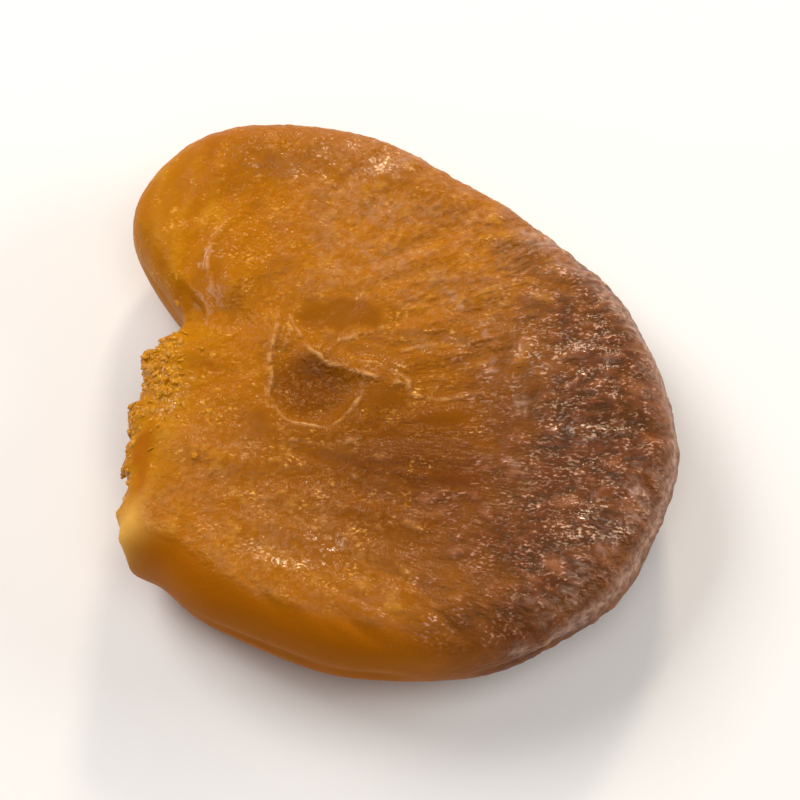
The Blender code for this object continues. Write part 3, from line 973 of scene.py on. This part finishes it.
    # pale specks, partly dried syrup and partly painted glints: the tops of a noise that is longer than it
    # is wide, in loose drifts, held to the crests and made nearly white as painted glints in the wet
    # patches
    speckScale = tuple(1 / side for side in finish["speckMm"])
    speckPlace = addNode(tree, "Mapping", values={"Scale": speckScale}, links={"Vector": placeMm})
    speckNoise = addNode(tree, "TexNoise", values={"Scale": 1.0, "Detail": 1}, links={"Vector": speckPlace})
    driftNoise = addNode(
        tree, "TexNoise", values={"Scale": 1 / finish["speckDriftMm"], "Detail": 2},
        links={"Vector": placeMm})
    driftHere = addNode(tree, "Math", multiplyAdd, {1: finish["blushInDrift"]}, {0: blush, 2: driftNoise})
    speckDrift = addNode(tree, "MapRange", values=ranges["speckDrift"], links={"Value": driftHere})
    speckHigh = addNode(
        tree, "Math", multiplyAdd, {1: finish["wetInSpecks"]}, {0: mask["wet"], 2: speckNoise})
    speckTop = addNode(tree, "MapRange", values=ranges["speckTop"], links={"Value": speckHigh})
    speckThere = addNode(tree, "Math", multiply, links={0: speckDrift, 1: mask["specked"]})
    onCrest = addNode(tree, "MapRange", values=ranges["onCrest"], links={"Value": height})
    speckShare = addNode(tree, "Math", multiply, links={0: speckThere, 1: onCrest})
    speckGlintCover = addNode(tree, "Math", multiply, links={0: speckTop, 1: speckShare})
    rosy = addNode(tree, "MapRange", values=ranges["rosy"], links={"Value": blush})
    speckGlintTones = {mixA: colour["amberSpeckGlint"], mixB: colour["redSpeckGlint"]}
    speckGlintTone = addNode(tree, "Mix", colourMix, speckGlintTones, {0: rosy}, mixOut)
    # in the wet patches the specks turn nearly white, as painted glints
    speckGlintTone = addNode(
        tree, "Mix", colourMix, {mixB: colour["wetSpeckGlint"]}, {0: mask["wet"], mixA: speckGlintTone}, mixOut)

    # the flesh's own colour, and over it each cover in turn
    fleshTones = {mixA: colour["amber"], mixB: colour["deepAmber"]}
    tone = addNode(tree, "Mix", colourMix, fleshTones, {0: mask["deep"]}, mixOut)
    for cover, name in ((tanCover, "tan"), (blush, "sunRed"), (mask["yellow"], "yellowOrange")):
        tone = addNode(tree, "Mix", colourMix, {mixB: colour[name]}, {0: cover, mixA: tone}, mixOut)
    # painted highlight on the crests, painted shade in the valleys, then the pale specks, partly painted
    # glints
    for cover, other in ((crest, crestHighlightTone), (valley, valleyShadeTone), (speckGlintCover, speckGlintTone)):
        tone = addNode(tree, "Mix", colourMix, None, {0: cover, mixA: tone, mixB: other}, mixOut)
    # over these: the wall, the fold lines' painted highlight, the bloom lightened as a painted rim
    # highlight, the torn flesh and the pale corner
    layers = (
        (mask["wall"], "wallOrange"), (foldHighlightTone, "foldHighlight"), (bloomAndRimLightCover, "bloomAndRimLight"),
        (mask["torn"], "tornYellow"), (mask["pale"], "paleFlesh"))
    for cover, name in layers:
        tone = addNode(tree, "Mix", colourMix, {mixB: colour[name]}, {0: cover, mixA: tone}, mixOut)

    # dull where it is dusty or yellow, glossy where it is wet
    bumpDepth = finish["grainDepthMm"] * mm
    bump = addNode(tree, "Bump", values={"Strength": 1.0, "Distance": bumpDepth}, links={"Height": relief})
    dusty = addNode(tree, "Math", {"operation": "MAXIMUM"}, links={0: mask["wall"], 1: bloomAndRimLightCover})
    dull = addNode(tree, "Math", clampedAdd, {1: finish["yellowDull"]}, {0: mask["yellow"], 2: dusty})
    rough = addNode(tree, "MapRange", values=ranges["roughness"], links={"Value": dull})
    dryGloss = addNode(tree, "MapRange", values=ranges["gloss"], links={"Value": dull})
    gloss = addNode(
        tree, "Mix", {"data_type": "FLOAT"}, {mixSecond: finish["wetGloss"]},
        {0: mask["wet"], mixFirst: dryGloss})
    shader = addNode(
        tree, "BsdfPrincipled",
        values={
            "Specular IOR Level": finish["specular"],
            "Specular Tint": colour["specularTint"],
            "Subsurface Weight": finish["subsurface"],
            "Subsurface Radius": finish["subsurfaceShares"],
            "Subsurface Scale": finish["subsurfaceDepthMm"] * mm,
            "Coat Roughness": finish["glossRoughness"],
        },
        links={
            "Base Color": tone,
            "Normal": bump,
            "Coat Normal": bump,
            "Roughness": rough,
            "Coat Weight": gloss,
        },
    )
    addNode(tree, "OutputMaterial", links={"Surface": shader})
    return material


# Torn apricot flesh: fibres and beads pulled up where the stone was pressed out, then dried. It is glassy
# yellow, clearer than the skin, and paler at its dry tips.
tornFlesh = {
    "count": 720,
    "cells": 4,
    # a bead's least and greatest half size in mm, and how deep its middle lies, as a share of its height
    "smallest": 0.09,
    "largest": 0.38,
    "sink": 0.6,
    "roughen": 0.5,
    "lumpCrowd": 1.3,
    # how far into the noise each bead's own stretch may start
    "lumpSpread": 30,
    "lean": 0.35,
    "yellow": "#BC7800",
    "paleTip": "#D49A14",
    "subsurface": 0.15,
    "subsurfaceDepthMm": 0.12,
    "subsurfaceShares": (1.0, 0.45, 0.08),
    "roughness": 0.4,
    "gloss": 0.5,
    "glossRoughness": 0.14,
    "streakMm": 0.35,
    "paleStreaks": {"From Min": 0.4, "From Max": 0.75},
    "grainDepthMm": 0.015,
    # how torn the skin is where beads start and where they are as dense as they get
    "onTorn": (0.5, 0.9),
    # the share of beads away from the lips, as far as this share of the way
    "offLips": 0.35,
    "offLipsEnd": 0.42,
    # where beads are pulled up over the face too, x, y, half length, half breadth, and how many
    "facePatch": (-17.6, -0.2, 1.9, 3.6),
    "onFacePatch": 0.8,
}


# the beads' colour and finest relief, from one noise
def tornMaterial():
    finish = tornFlesh
    material, tree, placeMm = emptyMaterial("torn_apricot_flesh")
    streak = addNode(
        tree, "TexNoise", values={"Scale": 1 / finish["streakMm"], "Detail": 2}, links={"Vector": placeMm})
    pale = addNode(tree, "MapRange", values=finish["paleStreaks"], links={"Value": streak})
    tone = addNode(
        tree, "Mix", {"data_type": "RGBA"},
        {mixA: hexColour(finish["yellow"]), mixB: hexColour(finish["paleTip"])}, {0: pale}, mixOut)
    bumpDepth = finish["grainDepthMm"] * mm
    bump = addNode(tree, "Bump", values={"Strength": 1.0, "Distance": bumpDepth}, links={"Height": streak})
    shader = addNode(
        tree, "BsdfPrincipled",
        values={
            "Specular IOR Level": skinFinish["specular"],
            "Specular Tint": hexColour(skinFinish["specularTint"]),
            "Roughness": finish["roughness"],
            "Subsurface Weight": finish["subsurface"],
            "Subsurface Radius": finish["subsurfaceShares"],
            "Subsurface Scale": finish["subsurfaceDepthMm"] * mm,
            "Coat Weight": finish["gloss"],
            "Coat Roughness": finish["glossRoughness"],
        },
        links={"Base Color": tone, "Normal": bump, "Coat Normal": bump},
    )
    addNode(tree, "OutputMaterial", links={"Surface": shader})
    return material


# beads of torn flesh on random places of the torn skin: each is a sphere whose radius is changed by
# noise, stretched unevenly, turned to the skin's normal and sunk into it
def buildTornFlesh(points, normals, weight):
    draw = np.random.default_rng(seeds["beads"])
    count = tornFlesh["count"]
    chosen = draw.choice(len(points), count, replace=False, p=weight / weight.sum())
    sphere, squares = cubeSphere(tornFlesh["cells"])
    size = draw.uniform(tornFlesh["smallest"], tornFlesh["largest"], (count, 3))
    up = normals[chosen] + draw.normal(0, tornFlesh["lean"], (count, 3))
    up /= np.linalg.norm(up, axis=1, keepdims=True)
    side = np.cross(up, draw.normal(size=(count, 3)))
    side /= np.linalg.norm(side, axis=1, keepdims=True)
    frames = np.stack([side, np.cross(up, side), up], axis=1)
    lumpStart = draw.uniform(0, tornFlesh["lumpSpread"], (count, 1, 3))
    lumps = noise(sphere[None] * tornFlesh["lumpCrowd"] + lumpStart, seeds["beadLumps"])[..., None]
    bead = sphere[None] * (1 + tornFlesh["roughen"] * lumps) * size[:, None]
    beads = np.einsum("nvk,nkj->nvj", bead, frames)
    beads += (points[chosen] - up * size[:, 2:] * tornFlesh["sink"])[:, None]
    allSquares = squares[None] + (np.arange(count) * len(sphere))[:, None, None]
    return makePiece("torn_flesh", beads.reshape(-1, 3), allSquares.reshape(-1, 4), tornMaterial(), {})


# how densely beads stand at each point of the skin
def beadWeight(points, share, masks):
    nearLips = sum(bell(share - lip, fruit["lipWidth"]) for lip in fruit["lipShares"])
    nearLips += tornFlesh["offLips"] * (share < tornFlesh["offLipsEnd"])
    inPatch = bell(ovalAway(points[:, 0], points[:, 1], tornFlesh["facePatch"]), 1.0)
    onFace = tornFlesh["onFacePatch"] * inPatch * masks["onTop"]
    return rise(*tornFlesh["onTorn"], masks["torn"]) * nearLips + onFace


# the plain skin, moved along its normals by the large and then the fine relief, and the beads that stand
# on it
def buildFruit():
    direction, squares = cubeSphere(fruit["cells"])
    turn = np.degrees(np.arctan2(direction[:, 1], direction[:, 0])) % 360
    share = np.arccos(np.clip(direction[:, 2], -1, 1)) / np.pi
    points, reach, openHere = skinPoints(turn, share)
    points += cornerNormals(points, squares) * largeRelief(points, turn, share, reach, openHere)[:, None]
    masks = skinMasks(points, turn, share, openHere)
    lines, edges = fineRelief(points, turn, share, masks)
    foldX, foldY, foldHigh = thinFolds(points)
    foldDistance = np.hypot(foldX, foldY)
    foldHigh *= masks["onTop"]
    thin = foldHigh * bell(foldDistance, wrinkles["thinFoldWidth"])
    points += cornerNormals(points, squares) * (lines + thin + edges)[:, None]

    # the outline's middle goes over the origin, and the foot is pressed flat on the table
    middle = (points.min(axis=0) + points.max(axis=0)) / 2
    points -= [middle[0], middle[1], 0]
    points[:, 2] = np.maximum(points[:, 2], 0)
    torn = buildTornFlesh(points, cornerNormals(points, squares), beadWeight(points, share, masks))

    # what the skin's material reads: its masks, the nearest thin fold, and a place along and across the fan
    attributes = {key: masks[key] for key in skinMaskNames if key in masks}
    attributes["crest"] = lines / wrinkles["fullCrest"]
    # far from a fold the strength is 0, so that no line shows where the nearest fold changes
    nearFold = 1 - rise(*wrinkles["thinFoldFade"], foldDistance)
    foldStrength = np.clip(foldHigh / wrinkles["strongFold"], 0, 1) * nearFold
    attributes["foldAway"] = np.stack([foldX, foldY, foldStrength], axis=-1)
    away = points - [*forms["fanCentre"], 0]
    distance = np.hypot(away[:, 0], away[:, 1]) + nearlyZero
    across = np.arctan2(away[:, 1], away[:, 0]) * skinFinish["dashDistance"]
    spacing = skinFinish["dashSpacing"]
    attributes["flow"] = np.stack(
        [distance / skinFinish["dashLength"], across / spacing, away[:, 2] / spacing], axis=-1)
    return makePiece("apricot_skin", points, squares, skinMaterial(), attributes), torn


# Camera, floor and lights

studio = {
    "elevation": 64,
    "distanceMm": 300,
    "lens": 180,
    "clipStartMm": 10,
    "aimMm": (0.0, 0.0, 5.5),
    "floor": "#F0F2F6",
    "floorRoughness": 0.9,
    "floorSizeMm": 4000,
    "world": 0.17,
    "worldColour": "#FFFAF2",
    # place in mm, size in mm, watts, colour
    "lights": {
        "keySoftbox": ((-260, 190, 330), (240, 240), 1.32, "#FFF8F0"),
        "topSoftbox": ((40, -170, 560), (380, 380), 1.15, "#FFF8F0"),
        "glintSpot": ((50, 330, 210), (58, 58), 0.58, "#FFEACC"),
        "sideSoftbox": ((340, 40, 170), (200, 200), 0.55, "#FFFAF2"),
    },
}


# puts an object at a place, looking at the target
def pointAt(obj, place, target):
    obj.location = Vector(place)
    obj.rotation_mode = "QUATERNION"
    obj.rotation_quaternion = (Vector(place) - Vector(target)).to_track_quat("Z", "Y")


# a long lens at the photo's angle, four area lights and an even sky
def buildStudio():
    aim = np.array(studio["aimMm"]) * mm
    tilt = np.radians(studio["elevation"])
    camera = bpy.data.objects.new("camera", bpy.data.cameras.new("camera"))
    camera.data.lens = studio["lens"]
    camera.data.clip_start = studio["clipStartMm"] * mm
    pointAt(camera, aim + studio["distanceMm"] * mm * np.array([0, -np.cos(tilt), np.sin(tilt)]), aim)
    bpy.context.scene.collection.objects.link(camera)
    bpy.context.scene.camera = camera
    for name, (place, size, watts, colour) in studio["lights"].items():
        light = bpy.data.objects.new(name, bpy.data.lights.new(name, "AREA"))
        light.data.shape = "RECTANGLE"
        light.data.size, light.data.size_y = size[0] * mm, size[1] * mm
        light.data.energy = watts
        light.data.color = hexColour(colour)[:3]
        pointAt(light, np.array(place) * mm, aim)
        bpy.context.scene.collection.objects.link(light)
    world = bpy.data.worlds.new("studio")
    world.use_nodes = True
    world.node_tree.nodes["Background"].inputs["Color"].default_value = hexColour(studio["worldColour"])
    world.node_tree.nodes["Background"].inputs["Strength"].default_value = studio["world"]
    bpy.context.scene.world = world
    bpy.context.scene.view_settings.view_transform = "Standard"


# a wide square of matte paper under the fruit
def buildFloor():
    half = studio["floorSizeMm"] / 2
    points = np.array([[-half, -half, 0], [half, -half, 0], [half, half, 0], [-half, half, 0]])
    material = bpy.data.materials.new("matte_paper_floor")
    material.use_nodes = True
    shader = material.node_tree.nodes["Principled BSDF"]
    shader.inputs["Base Color"].default_value = hexColour(studio["floor"])
    shader.inputs["Roughness"].default_value = studio["floorRoughness"]
    floor = makePiece("floor", points, np.array([[0, 1, 2, 3]]), material, {})


print("camera, lights and floor")
buildStudio()
buildFloor()

print("fruit")
for piece in buildFruit():
    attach(piece, root)
    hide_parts("dried_apricot")
